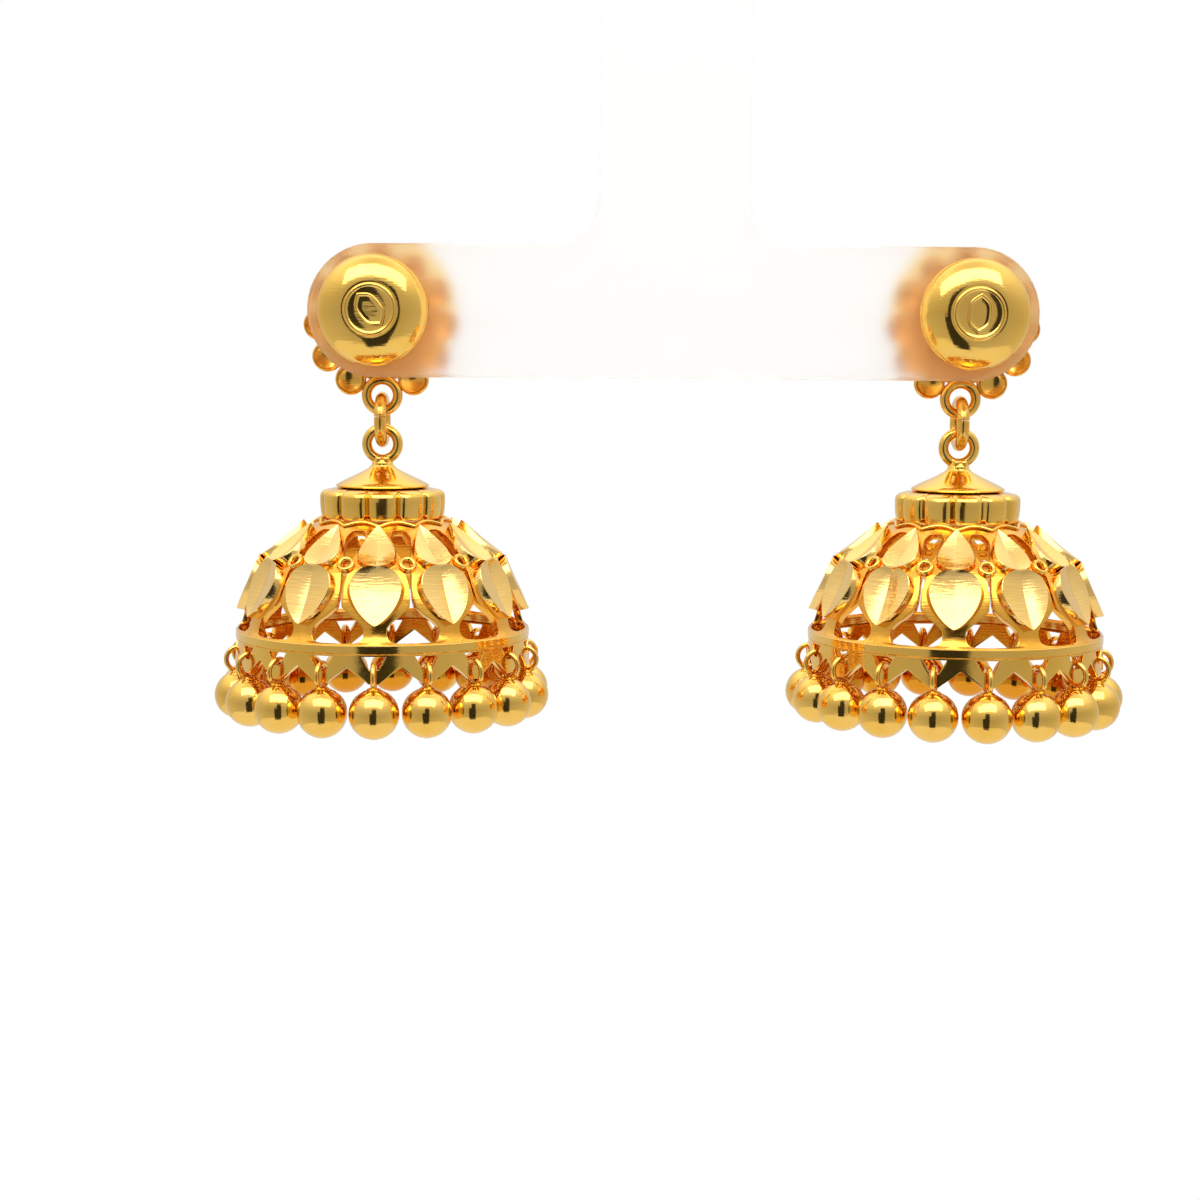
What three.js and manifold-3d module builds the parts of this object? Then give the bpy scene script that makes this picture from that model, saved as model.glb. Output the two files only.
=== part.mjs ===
// A pair of jhumka earrings, screwed on a plain display strip and seen from their backs.
// Each earring is a flower stud with a screw back, a jump ring, and a pierced bell with a
// fringe of round beads. Millimetres, Z up, Y towards the flowers. The origin is the middle
// of the strip's top end, where the strip is held.
import * as THREE from "three";
import { mergeVertices } from "three/addons/utils/BufferGeometryUtils.js";
import Module from "manifold-3d";

const wasm = await Module();
wasm.setup();

// Display strip
const columnWidth = 8.8;
const columnRise = 16.2;
const filletRadius = 3;
const armHeight = 7.8;
const stripThickness = 2;
const postSpacing = 35.2;
const clampGap = 0.3;

// Stud: post, flower and the loop under it
const postRadius = 0.45;
const postClearance = 0.3;
const flowerPlateRadius = 3.3;
const flowerPlateThickness = 0.45;
const flowerDrop = 0.8;
const petalRadius = 0.93;
const petalCircle = 3.75;
const petalPlaces = 12;
const innerPetalRadius = 0.72;
const innerPetalCircle = 1.95;
const innerPetals = 6;
const flowerHeart = 1.15;
const petalSides = 10;

// Screw back
const nutRadius = 3.25;
const nutRim = 0.3;
const nutDepth = 1.6;
const nutPlateau = 1.4;
const nutRoof = 0.35;
const nutBevel = 0.12;
const nutSides = 16;
const postReach = 0.85;
const boreClearance = 0.15;
const cartoucheLength = 1.7;
const cartoucheWidth = 1.05;
const cartoucheHeight = 0.14;

// Loops and jump ring
const loopRadius = 0.93;
const loopWire = 0.3;
const loopOverlap = 0.35;
const jumpRadius = 1.31;
const jumpWire = 0.36;
const linkGap = 0.12;
const dropInset = 0.25;
const wireSides = 6;
const loopSteps = 12;
const jumpSteps = 14;

// Bell: neck, collar, dome and skirt
const neckRadius = 0.62;
const neckHeight = 1.5;
const neckSides = 14;
const flangeRadius = 2.76;
const flangeThickness = 0.27;
const collarRadius = 3.75;
const collarHeight = 1.8;
const collarGroove = 0.28;
const domeHeight = 6.55;
const bandRadius = 8.8;
const bandHeight = 0.55;
const skirtHeight = 1.65;
const skirtFlare = 0.1;
const wall = 0.4;

// Leaves and openings of the dome
const leavesAround = 12;
const leafRelief = 0.34;
const leafGroove = 0.3;

// Beads of the fringe
const beads = 18;
const beadRadius = 1.45;
const beadLoopRadius = 0.725;
const beadLoopWire = 0.15;
const beadOverhang = 0.14;
const beadSink = 0.14;
const beadSides = 10;
const beadRows = 5;
const beadWireSides = 5;

// Turns of each bell's leaves and feet about its own axis, in degrees from the photo side
const bellTurns = {
  left: { leaves: 3, feet: 2.5 },
  right: { leaves: -10, feet: 3 },
};

// Turns of the screw backs' cartouches as they were tightened, in radians
const cartoucheTurns = { left: -0.9, right: 1.5 };

// A petal's shoulder and height in shares of its radius, and the screw back's crown as shares
// of a quarter turn
const petalShape = { shoulderOut: 0.86, shoulderUp: 0.62, outerRise: 1.2, innerRise: 1.3 };
const crownSteps = [0.35, 0.65, 0.86];

// The neck's cone, in shares of the flange's radius and of the neck's height
const neckCone = [
  { out: 0.3, down: 0.34 },
  { out: 0.64, down: 0.66 },
  { out: 0.91, down: 0.9 },
  { out: 1, down: 1 },
];
const flangeHollow = 0.8;

// The dome's outline from the collar to the band, in shares of its own width and height
const domeOutline = [
  { out: 0, down: 0 },
  { out: 0.35, down: 0.175 },
  { out: 0.66, down: 0.4 },
  { out: 0.83, down: 0.64 },
  { out: 0.93, down: 0.93 },
  { out: 1, down: 1 },
];

// Rows of the dome's wall along its outline. The gap is the share of the space between two
// leaves' middles that lies between the leaves there, the relief is a share of the leaves'
// own, and a row may start an opening. An upper leaf is widest in the second row and a lower
// leaf in the fifth.
const domeRows = [
  { along: 0.11, gap: 0.56, relief: 0.2, opens: true },
  { along: 0.24, gap: 0.36, relief: 1, opens: true },
  { along: 0.4, gap: 0.58, relief: 0.4 },
  { along: 0.46, gap: 0.52, relief: 0.4, opens: true },
  { along: 0.6, gap: 0.24, relief: 1, opens: true },
  { along: 0.72, gap: 0.26, relief: 1 },
  { along: 0.77, gap: 0.34, relief: 0.8, opens: true },
  { along: 0.93, gap: 0.74, relief: 0 },
  { along: 1, gap: 0.7, relief: 0 },
];

// Half widths in the skirt, in shares of the feet's spacing, and depths in shares of its height
const skirtCut = {
  holeTop: 0.21,
  holeBottom: 0.09,
  foot: 0.11,
  holeDown: 0.54,
  nodeDown: 0.3,
  archDown: 0.5,
};

const postHeight = -(columnRise + armHeight / 2);
const plateBack = stripThickness / 2 + clampGap;
const loopDepth = plateBack + loopWire - clampGap / 2;
const loopHeight = -(flowerDrop + flowerPlateRadius + loopRadius + loopWire - loopOverlap);
const jumpHeight = loopHeight - loopRadius + loopWire + linkGap + jumpWire - jumpRadius;
const eyeHeight = jumpHeight - jumpRadius + jumpWire + linkGap + loopWire - loopRadius;
const neckTop = eyeHeight - loopRadius;
const collarTop = neckTop - neckHeight - flangeThickness;
const domeTop = collarTop - collarHeight;
const bandTop = domeTop - domeHeight;
const bandBottom = bandTop - bandHeight;
const skirtBottom = bandBottom - skirtHeight;
const skirtRadius = bandRadius + skirtFlare - wall / 2;
const beadLoopHeight = skirtBottom - beadOverhang + beadLoopRadius - beadLoopWire;
const beadHeight = beadLoopHeight - beadLoopRadius - beadLoopWire + beadSink - beadRadius;

const white = { color: 0xf4f2ee, roughness: 0.18, metalness: 0 };
const polishedGold = { color: 0xe6b04a, roughness: 0.16, metalness: 1 };
const satinGold = { color: 0xe9b95e, roughness: 0.3, metalness: 1 };
const deepGold = { color: 0xd99a35, roughness: 0.2, metalness: 1 };

// A closed geometry as a solid. A profile may run either way, so a solid that comes out
// inside out has its faces turned.
function solid(geometry) {
  const bare = geometry.clone();
  bare.deleteAttribute("normal");
  bare.deleteAttribute("uv");
  const merged = mergeVertices(bare, 1e-4);
  const triVerts = new Uint32Array(merged.index.array);
  const vertProperties = merged.getAttribute("position").array;
  const made = new wasm.Manifold(new wasm.Mesh({ numProp: 3, vertProperties, triVerts }));
  if (made.volume() > 0) {
    return made;
  }
  const turned = triVerts.slice().reverse();
  return new wasm.Manifold(new wasm.Mesh({ numProp: 3, vertProperties, triVerts: turned }));
}

// The solid's faces as a geometry for a mesh.
function geometryOf(made) {
  const { vertProperties, triVerts } = made.getMesh();
  const geometry = new THREE.BufferGeometry();
  geometry.setAttribute("position", new THREE.BufferAttribute(vertProperties, 3));
  geometry.setIndex(new THREE.BufferAttribute(triVerts, 1));
  geometry.computeVertexNormals();
  return geometry;
}

function joined(solids) {
  return solids.reduce((sum, next) => sum.add(next));
}

function named(name, made, finish) {
  const mesh = new THREE.Mesh(geometryOf(made), new THREE.MeshStandardMaterial(finish));
  mesh.name = name;
  return mesh;
}

// A profile of [radius, height] points turned about the Z axis.
function turnedGeometry(profile, sides) {
  const points = profile.map(([radius, height]) => new THREE.Vector2(radius, height));
  const geometry = new THREE.LatheGeometry(points, sides);
  geometry.rotateX(Math.PI / 2);
  return geometry;
}

// A ring of round wire. Its axis is Z until it is turned.
function wireRing(radius, wire, around, sides) {
  return new THREE.TorusGeometry(radius, wire, sides, around);
}

// A frame on the bell at an angle from the photo side: X runs round the bell, Z points out
// from its axis, and Y is up.
function bellFrame(angle, radius, height) {
  const round = new THREE.Vector3(Math.cos(angle), Math.sin(angle), 0);
  const out = new THREE.Vector3(Math.sin(angle), -Math.cos(angle), 0);
  const frame = new THREE.Matrix4().makeBasis(round, new THREE.Vector3(0, 0, 1), out);
  frame.setPosition(out.multiplyScalar(radius).setZ(height));
  return frame;
}

const domeCurve = new THREE.SplineCurve(
  domeOutline.map(
    ({ out, down }) =>
      new THREE.Vector2(collarRadius + out * (bandRadius - collarRadius), domeTop - down * domeHeight),
  ),
);

// The dome's surface at a share of its outline: radius, height and how far it leans back.
function onDome(share) {
  const { x: radius, y: height } = domeCurve.getPointAt(share);
  const tangent = domeCurve.getTangentAt(share);
  return { radius, height, tilt: Math.atan2(tangent.x, -tangent.y) };
}

// The flat outline of [x, y] points, extruded from one depth to another along Z.
function slab(points, from, to) {
  const shape = new THREE.Shape(points.map(([x, y]) => new THREE.Vector2(x, y)));
  const geometry = new THREE.ExtrudeGeometry(shape, { depth: to - from, bevelEnabled: false });
  geometry.translate(0, 0, from);
  return geometry;
}

function aroundBell(count, turn, make) {
  const firstAngle = THREE.MathUtils.degToRad(turn);
  return Array.from({ length: count }, (_, i) => make(firstAngle + (i * Math.PI * 2) / count));
}

// The strip is an upside-down T with full round arm ends and filleted inner corners.
function displayStrip() {
  const half = columnWidth / 2;
  const endRadius = armHeight / 2;
  const armTop = -columnRise;
  const endX = postSpacing / 2;
  const outline = new THREE.Shape();
  outline.moveTo(-half, 0);
  outline.lineTo(-half, armTop + filletRadius);
  outline.absarc(-half - filletRadius, armTop + filletRadius, filletRadius, 0, -Math.PI / 2, true);
  outline.lineTo(-endX, armTop);
  outline.absarc(-endX, postHeight, endRadius, Math.PI / 2, Math.PI * 1.5, false);
  outline.lineTo(endX, armTop - armHeight);
  outline.absarc(endX, postHeight, endRadius, -Math.PI / 2, Math.PI / 2, false);
  outline.lineTo(half + filletRadius, armTop);
  outline.absarc(half + filletRadius, armTop + filletRadius, filletRadius, -Math.PI / 2, -Math.PI, true);
  outline.lineTo(half, 0);
  outline.closePath();
  for (const x of [-endX, endX]) {
    const hole = new THREE.Path();
    hole.absarc(x, postHeight, postRadius + postClearance, 0, Math.PI * 2, true);
    outline.holes.push(hole);
  }
  const settings = { depth: stripThickness, bevelEnabled: false, curveSegments: 5 };
  const geometry = new THREE.ExtrudeGeometry(outline, settings);
  geometry.rotateX(Math.PI / 2);
  geometry.translate(0, stripThickness / 2, 0);
  return solid(geometry);
}

// The screw back is a hollow-bored dome with a flat top, which bears a plain cartouche.
function screwBack(cartoucheTurn) {
  const bore = postRadius + boreClearance;
  const crown = crownSteps.map((share) => {
    const rise = Math.sin((share * Math.PI) / 2) * (nutDepth - nutRim);
    const radius = nutPlateau + (nutRadius - nutPlateau) * Math.cos((share * Math.PI) / 2);
    return [radius, nutRim + rise];
  });
  const profile = [
    [0, nutDepth - nutRoof],
    [bore, nutDepth - nutRoof],
    [bore, 0],
    [nutRadius - nutRim / 2, 0],
    [nutRadius, nutRim / 2],
    [nutRadius, nutRim],
    ...crown,
    [nutPlateau, nutDepth - nutBevel / 2],
    [nutPlateau - nutBevel, nutDepth],
    [0, nutDepth],
  ];
  const dome = solid(turnedGeometry(profile, nutSides));
  const l = cartoucheLength / 2;
  const w = cartoucheWidth / 2;
  const lozenge = slab([[-l, 0], [-l / 2, -w], [l / 2, -w], [l, 0], [l / 2, w], [-l / 2, w]],
    nutDepth - cartoucheHeight, nutDepth + cartoucheHeight);
  lozenge.rotateZ(cartoucheTurn);
  const geometry = geometryOf(dome.add(solid(lozenge)));
  geometry.rotateX(Math.PI / 2);
  geometry.translate(0, -plateBack, 0);
  return solid(geometry);
}

// The stud is one soldered piece: post, flower of two rings of round petals, and a loop in
// the place of the lowest petal.
function stud(inset) {
  const postEnd = plateBack + postReach;
  const postStart = plateBack + flowerPlateThickness / 2;
  const post = new THREE.CylinderGeometry(postRadius, postRadius, postStart + postEnd, 10);
  post.translate(0, (postStart - postEnd) / 2, 0);
  const thickness = flowerPlateThickness;
  const plate = new THREE.CylinderGeometry(flowerPlateRadius, flowerPlateRadius, thickness, 24);
  plate.translate(inset, plateBack + thickness / 2, -flowerDrop);
  const parts = [solid(post), solid(plate)];
  const { shoulderOut, shoulderUp, outerRise, innerRise } = petalShape;
  const boss = (radius, height, circle, angle, lift) => {
    const shoulder = [radius * shoulderOut, height * shoulderUp];
    const shape = turnedGeometry([[0, 0], [radius, 0], shoulder, [0, height]], petalSides);
    shape.rotateX(-Math.PI / 2);
    const across = inset + circle * Math.sin(angle);
    shape.translate(across, plateBack + lift, -flowerDrop - circle * Math.cos(angle));
    return solid(shape);
  };
  for (let i = 1; i < petalPlaces; i += 1) {
    const angle = (i * Math.PI * 2) / petalPlaces;
    parts.push(boss(petalRadius, petalRadius * outerRise, petalCircle, angle, 0));
  }
  const lift = thickness / 2;
  for (let i = 0; i < innerPetals; i += 1) {
    const angle = ((i + 0.5) * Math.PI * 2) / innerPetals;
    parts.push(boss(innerPetalRadius, innerPetalRadius * innerRise, innerPetalCircle, angle, lift));
  }
  parts.push(boss(flowerHeart, flowerHeart * innerRise, 0, 0, lift));
  const loop = wireRing(loopRadius, loopWire, loopSteps, wireSides);
  loop.rotateX(Math.PI / 2);
  loop.translate(inset, loopDepth, loopHeight);
  return joined([...parts, solid(loop)]);
}

function jumpRing(inset) {
  const ring = wireRing(jumpRadius, jumpWire, jumpSteps, wireSides);
  ring.rotateY(Math.PI / 2);
  ring.translate(inset, loopDepth, jumpHeight);
  return solid(ring);
}

// A pierced wall as a grid: columns run round the bell and rows run down it. A closed cell
// has an outer and an inner face, and a face towards each open neighbour.
function piercedWall(columns, rows, pointAt, isOpen) {
  const position = [];
  for (let column = 0; column < columns; column += 1) {
    for (let row = 0; row < rows; row += 1) {
      position.push(...pointAt(column, row, 0), ...pointAt(column, row, 1));
    }
  }
  const outer = (column, row) => ((column % columns) * rows + row) * 2;
  const inner = (column, row) => outer(column, row) + 1;
  const closed = (column, row) =>
    row >= 0 && row < rows - 1 && !isOpen((column + columns) % columns, row);
  const index = [];
  const quad = (a, b, c, d) => index.push(a, b, c, a, c, d);
  for (let c = 0; c < columns; c += 1) {
    for (let r = 0; r < rows - 1; r += 1) {
      if (!closed(c, r)) {
        continue;
      }
      quad(outer(c, r), outer(c, r + 1), outer(c + 1, r + 1), outer(c + 1, r));
      quad(inner(c, r), inner(c + 1, r), inner(c + 1, r + 1), inner(c, r + 1));
      if (!closed(c, r - 1)) {
        quad(outer(c, r), outer(c + 1, r), inner(c + 1, r), inner(c, r));
      }
      if (!closed(c, r + 1)) {
        quad(outer(c, r + 1), inner(c, r + 1), inner(c + 1, r + 1), outer(c + 1, r + 1));
      }
      if (!closed(c - 1, r)) {
        quad(outer(c, r + 1), outer(c, r), inner(c, r), inner(c, r + 1));
      }
      if (!closed(c + 1, r)) {
        quad(outer(c + 1, r), outer(c + 1, r + 1), inner(c + 1, r + 1), inner(c + 1, r));
      }
    }
  }
  const geometry = new THREE.BufferGeometry();
  geometry.setAttribute("position", new THREE.Float32BufferAttribute(position, 3));
  geometry.setIndex(index);
  return solid(geometry);
}

function pointOnBell(angle, radius, height) {
  return [radius * Math.sin(angle), -radius * Math.cos(angle), height];
}

// The dome with its collar. Of the three columns for each leaf, one is the groove down the
// leaf's middle and two are its edges, which stand proud of the wall and bound the openings.
// Over the edges the collar is drawn in between its lobes.
function domeWall(turn) {
  const collarRows = [
    { radius: neckRadius, height: collarTop, tilt: Math.PI / 2, groove: 0 },
    { radius: collarRadius, height: collarTop, tilt: Math.PI / 4, groove: collarGroove },
    { radius: collarRadius, height: domeTop, tilt: Math.PI / 8, groove: collarGroove },
  ];
  const plain = { gap: 0.2, relief: 0, groove: 0 };
  const rows = [
    ...collarRows.map((row) => ({ ...plain, ...row })),
    ...domeRows.map((row) => ({ ...plain, ...row, ...onDome(row.along) })),
  ];
  const space = (Math.PI * 2) / leavesAround;
  const firstAngle = THREE.MathUtils.degToRad(turn);
  const pointAt = (column, row, side) => {
    const { radius, height, tilt, gap, relief, groove } = rows[row];
    const place = column % 3;
    const offset = [0, (1 - gap) / 2, (1 + gap) / 2][place];
    const angle = firstAngle + (Math.floor(column / 3) + offset) * space;
    const drawnIn = place === 0 ? 0 : groove;
    const proud = relief * (place === 0 ? leafRelief - leafGroove : leafRelief);
    const lift = side === 0 ? proud : -wall / Math.max(Math.cos(tilt), Math.sin(tilt));
    const reach = Math.max(radius - drawnIn + lift * Math.cos(tilt), neckRadius);
    return pointOnBell(angle, reach, height + lift * Math.sin(tilt));
  };
  const isOpen = (column, row) =>
    column % 3 === 1 && rows[row].opens === true;
  return piercedWall(leavesAround * 3, rows.length, pointAt, isOpen);
}

// The band and the zigzag skirt under it. Of the three columns for each foot, two edge the
// foot and the opening over it, and one runs down to the top of the arch beside it.
function skirtWall(turn) {
  const { holeTop, holeBottom, foot, holeDown, nodeDown, archDown } = skirtCut;
  const rows = [
    { edge: holeTop, edgeDown: 0, nodeDown: 0, height: bandTop },
    { edge: holeTop, edgeDown: 0, nodeDown: 0, height: bandBottom },
    { edge: holeBottom, edgeDown: holeDown, nodeDown, height: bandBottom },
    { edge: foot, edgeDown: 1, nodeDown: archDown, height: bandBottom },
  ];
  const space = (Math.PI * 2) / beads;
  const firstAngle = THREE.MathUtils.degToRad(turn);
  const pointAt = (column, row, side) => {
    const { edge, edgeDown, nodeDown: middleDown, height } = rows[row];
    const place = column % 3;
    const angle = firstAngle + (Math.floor(column / 3) + [-edge, edge, 0.5][place]) * space;
    const down = place === 2 ? middleDown : edgeDown;
    const radius = bandRadius + down * skirtFlare - side * wall;
    return pointOnBell(angle, radius, height - down * skirtHeight);
  };
  const isOpen = (column, row) => column % 3 === 0 && row === 1;
  return piercedWall(beads * 3, rows.length, pointAt, isOpen);
}

// The bell is one soldered piece: eye, neck, flange, collar, pierced dome with two rows of
// leaves, band, and a zigzag skirt whose feet carry the beads.
function bell(turns) {
  const body = domeWall(turns.leaves).add(skirtWall(turns.feet));
  const neckProfile = [
    [0, neckTop + loopWire / 2],
    [neckRadius, neckTop],
    ...neckCone.map(({ out, down }) => [out * flangeRadius, neckTop - down * neckHeight]),
    [flangeRadius, neckTop - neckHeight - flangeThickness / 2],
    [flangeRadius * flangeHollow, collarTop],
    [flangeRadius * flangeHollow, collarTop - wall / 2],
    [0, collarTop - wall / 2],
  ];
  const eye = wireRing(loopRadius, loopWire, loopSteps, wireSides);
  eye.rotateX(Math.PI / 2);
  eye.translate(0, 0, eyeHeight);
  return joined([body, solid(turnedGeometry(neckProfile, neckSides)), solid(eye)]);
}

// A bead with its soldered loop, which passes through the opening over one foot.
function drop(angle) {
  const bead = new THREE.SphereGeometry(beadRadius, beadSides, beadRows);
  bead.applyMatrix4(bellFrame(angle, skirtRadius, beadHeight));
  const loop = wireRing(beadLoopRadius, beadLoopWire, beadSides, beadWireSides);
  loop.rotateY(Math.PI / 2);
  loop.applyMatrix4(bellFrame(angle, skirtRadius, beadLoopHeight));
  return solid(bead).add(solid(loop));
}

function earring(side, towardsMiddle) {
  const inset = towardsMiddle * dropInset;
  const turns = bellTurns[side];
  const group = new THREE.Group();
  group.add(named(`${side}_stud`, stud(inset), deepGold));
  group.add(named(`${side}_screw_back`, screwBack(cartoucheTurns[side]), polishedGold));
  group.add(named(`${side}_jump_ring`, jumpRing(inset), deepGold));
  const hanging = new THREE.Group();
  hanging.position.set(inset, loopDepth, 0);
  hanging.add(named(`${side}_bell`, bell(turns), satinGold));
  aroundBell(beads, turns.feet, drop).forEach((made, i) => {
    hanging.add(named(`${side}_bead_${String(i + 1).padStart(2, "0")}`, made, polishedGold));
  });
  group.add(hanging);
  group.position.set((-towardsMiddle * postSpacing) / 2, 0, postHeight);
  return group;
}

const pair = new THREE.Group();
pair.add(named("display_strip", displayStrip(), white));
pair.add(earring("left", 1));
pair.add(earring("right", -1));

export default pair;
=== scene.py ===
"""A pair of gold jhumka earrings, screwed on a white display strip and seen from their backs."""
import math

import bmesh
import bpy
import numpy as np
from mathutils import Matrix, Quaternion, Vector
from mathutils.geometry import tessellate_polygon


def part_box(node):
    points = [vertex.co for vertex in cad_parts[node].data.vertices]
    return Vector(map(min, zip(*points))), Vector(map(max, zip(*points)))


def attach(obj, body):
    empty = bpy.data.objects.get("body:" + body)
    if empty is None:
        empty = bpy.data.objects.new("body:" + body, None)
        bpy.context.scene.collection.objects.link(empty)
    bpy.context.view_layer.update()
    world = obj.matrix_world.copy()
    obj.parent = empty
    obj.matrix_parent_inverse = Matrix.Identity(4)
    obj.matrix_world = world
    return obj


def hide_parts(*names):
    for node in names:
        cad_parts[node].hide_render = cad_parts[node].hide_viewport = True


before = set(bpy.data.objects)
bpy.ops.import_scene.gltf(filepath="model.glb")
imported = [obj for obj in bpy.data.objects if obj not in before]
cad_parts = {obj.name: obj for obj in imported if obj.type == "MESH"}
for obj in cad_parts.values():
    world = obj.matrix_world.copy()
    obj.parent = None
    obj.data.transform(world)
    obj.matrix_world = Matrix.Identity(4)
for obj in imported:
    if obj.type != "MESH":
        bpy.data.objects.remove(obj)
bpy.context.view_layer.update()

# Camera. It stands where the photograph was taken from: level with the screw backs, a little
# above the bells, and turned by half a degree.
mm = 0.001
scene = bpy.context.scene
view_middle = Vector((-4.19, 0, -37.2)) * mm
view_distance = 120 * mm
view_elevation = math.radians(6.5)
view_roll = math.radians(0.4)
lens_length = 60

camera_data = bpy.data.cameras.new("photo_camera")
camera_data.lens = lens_length
camera_data.clip_start = 5 * mm
camera = bpy.data.objects.new("photo_camera", camera_data)
scene.collection.objects.link(camera)
towards_camera = Vector((0, -math.cos(view_elevation), math.sin(view_elevation)))
camera.location = view_middle + towards_camera * view_distance
camera.rotation_mode = "QUATERNION"
level_view = (-towards_camera).to_track_quat("-Z", "Y")
camera.rotation_quaternion = level_view @ Quaternion((0, 0, 1), view_roll)
scene.camera = camera

# Studio. A pale room lights the gold from all sides, brighter overhead and behind. A wide
# softbox hangs in front, above the picture, and a dark card stands behind the camera, so the
# polished gold mirrors a white and a dark shape with clear edges.
scene.view_settings.view_transform = "Standard"
room_light = 1.3
room_tones = [
    (0.0, 0.54),
    (0.3, 0.5),
    (0.5, 0.45),
    (0.64, 0.52),
    (0.76, 0.7),
    (0.86, 0.95),
    (0.94, 1.0),
    (1.0, 0.72),
]
room_depth = 0.2
softbox_size = (240 * mm, 100 * mm)
softbox_place = Vector((-4, -84, 96)) * mm
softbox_power = 0.165
# The card's corners, across and up, and its place in depth, all in millimetres.
card_corners = [(-48, -150), (22, -150), (22, 30), (-24, 30), (-24, -20), (-48, -20)]
card_depth = -128
card_tone = 0.02
floor_height = -200 * mm
floor_radius = 260 * mm
floor_tone = 0.8

room = bpy.data.worlds.new("white_room")
scene.world = room
room.use_nodes = True
nodes, links = room.node_tree.nodes, room.node_tree.links
nodes.clear()


def room_math(operation, *values):
    """A Math node of the room with values or sockets at its inputs, as its result socket."""
    node = nodes.new("ShaderNodeMath")
    node.operation = operation
    for socket, value in zip(node.inputs, values):
        if isinstance(value, bpy.types.NodeSocket):
            links.new(value, socket)
        else:
            socket.default_value = value
    return node.outputs[0]


direction = nodes.new("ShaderNodeSeparateXYZ")
links.new(nodes.new("ShaderNodeTexCoord").outputs["Generated"], direction.inputs[0])
_, behind, up = direction.outputs
tones = nodes.new("ShaderNodeValToRGB")
ramp = tones.color_ramp.elements
for place, tone in room_tones[1:-1]:
    ramp.new(place)
for element, (place, tone) in zip(ramp, room_tones):
    element.position = place
    element.color = (tone, tone, tone, 1)
links.new(room_math("MULTIPLY_ADD", up, 0.5, 0.5), tones.inputs[0])
lit = room_math("MULTIPLY", tones.outputs[0], room_math("MULTIPLY_ADD", behind, room_depth, 1))
around_light = nodes.new("ShaderNodeBackground")
links.new(lit, around_light.inputs["Color"])
around_light.inputs["Strength"].default_value = room_light
backdrop_light = nodes.new("ShaderNodeBackground")
backdrop_light.inputs["Color"].default_value = (1, 1, 1, 1)
seen = nodes.new("ShaderNodeMixShader")
ray = nodes.new("ShaderNodeLightPath").outputs
links.new(room_math("MAXIMUM", ray["Is Camera Ray"], ray["Is Transmission Ray"]), seen.inputs[0])
links.new(around_light.outputs[0], seen.inputs[1])
links.new(backdrop_light.outputs[0], seen.inputs[2])
links.new(seen.outputs[0], nodes.new("ShaderNodeOutputWorld").inputs["Surface"])

softbox_light = bpy.data.lights.new("softbox", "AREA")
softbox_light.shape = "RECTANGLE"
softbox_light.size, softbox_light.size_y = softbox_size
softbox_light.energy = softbox_power
softbox = bpy.data.objects.new("softbox", softbox_light)
softbox.location = softbox_place
softbox.rotation_mode = "QUATERNION"
softbox.rotation_quaternion = (view_middle - softbox_place).to_track_quat("-Z", "Y")
scene.collection.objects.link(softbox)


def stage_sheet(name, corners, tone):
    """A flat face of the stage: its corners in metres joined in order, in one matt grey."""
    mesh = bpy.data.meshes.new(name)
    mesh.from_pydata(corners, [], [list(range(len(corners)))])
    matt = bpy.data.materials.new(name)
    matt.use_nodes = True
    matt_shader = matt.node_tree.nodes["Principled BSDF"]
    matt_shader.inputs["Base Color"].default_value = (tone, tone, tone, 1)
    matt_shader.inputs["Roughness"].default_value = 0.9
    mesh.materials.append(matt)
    sheet_object = bpy.data.objects.new(name, mesh)
    scene.collection.objects.link(sheet_object)
    return sheet_object


rim = np.linspace(0, 2 * np.pi, 64, endpoint=False)
floor_edge = [np.cos(rim) * floor_radius, np.sin(rim) * floor_radius, np.full_like(rim, floor_height)]
stage_sheet("pale_floor", np.stack(floor_edge, -1).tolist(), floor_tone)
card_edge = [(x * mm, card_depth * mm, z * mm) for x, z in card_corners]
dark_card = stage_sheet("dark_card", card_edge, card_tone)
dark_card.visible_camera = False
dark_card.visible_shadow = False
dark_card.visible_transmission = False

# Display strip. A T of milky white acrylic, 2 mm thick, laser cut and flame polished. It hangs
# by its top end, and each arm is bored for a post. Round each post the acrylic's colour is
# painted warm, a painted reflection of the gold flower that lies on its back.
strip_low, strip_high = (np.array(corner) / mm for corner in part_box("display_strip"))
arm_height = 7.8
column_width = 8.8
inner_corner = 3
top_corner = 0.5
strip_edge = 0.3
post_hole = 0.75
clear_acrylic = (0.98, 0.965, 0.95)
# Painted reflection: the warm tone the acrylic is painted in round each post, for the gold flower behind it.
painted_gold_reflection_tone = (0.98, 0.79, 0.43)
painted_reflection_radius = 4.2
painted_reflection_fade = 1.1
clearness = 0.92
light_bending = 1.49
smudges_per_metre = 240
smudge_roughness = (0.6, 0.74)
ripple_strength = 0.15
ripple_depth = 0.03
strip_half = strip_high[1]
arm_end = arm_height / 2
post_height = strip_low[2] + arm_end
post_x = strip_high[0] - arm_end


def grid(points, tube=False):
    """Quads between neighbours of a rows x columns array of points. The last column meets
    the first one, and a tube's last row meets its first one."""
    rows, columns = points.shape[:2]
    row = np.arange(rows if tube else rows - 1)[:, None]
    column = np.arange(columns)[None, :]
    below, beside = (row + 1) % rows, (column + 1) % columns
    quads = np.stack(
        [row * columns + column, row * columns + beside,
         below * columns + beside, below * columns + column], -1,
    )
    return points.reshape(-1, 3), quads.reshape(-1, 4)


def together(*shells):
    """Several shells as one: their points in a row, and their faces counted on."""
    points = np.concatenate([shell[0] for shell in shells])
    faces = []
    start = 0
    for shell in shells:
        faces += (shell[1] + start).tolist()
        start += len(shell[0])
    return points, faces


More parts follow.
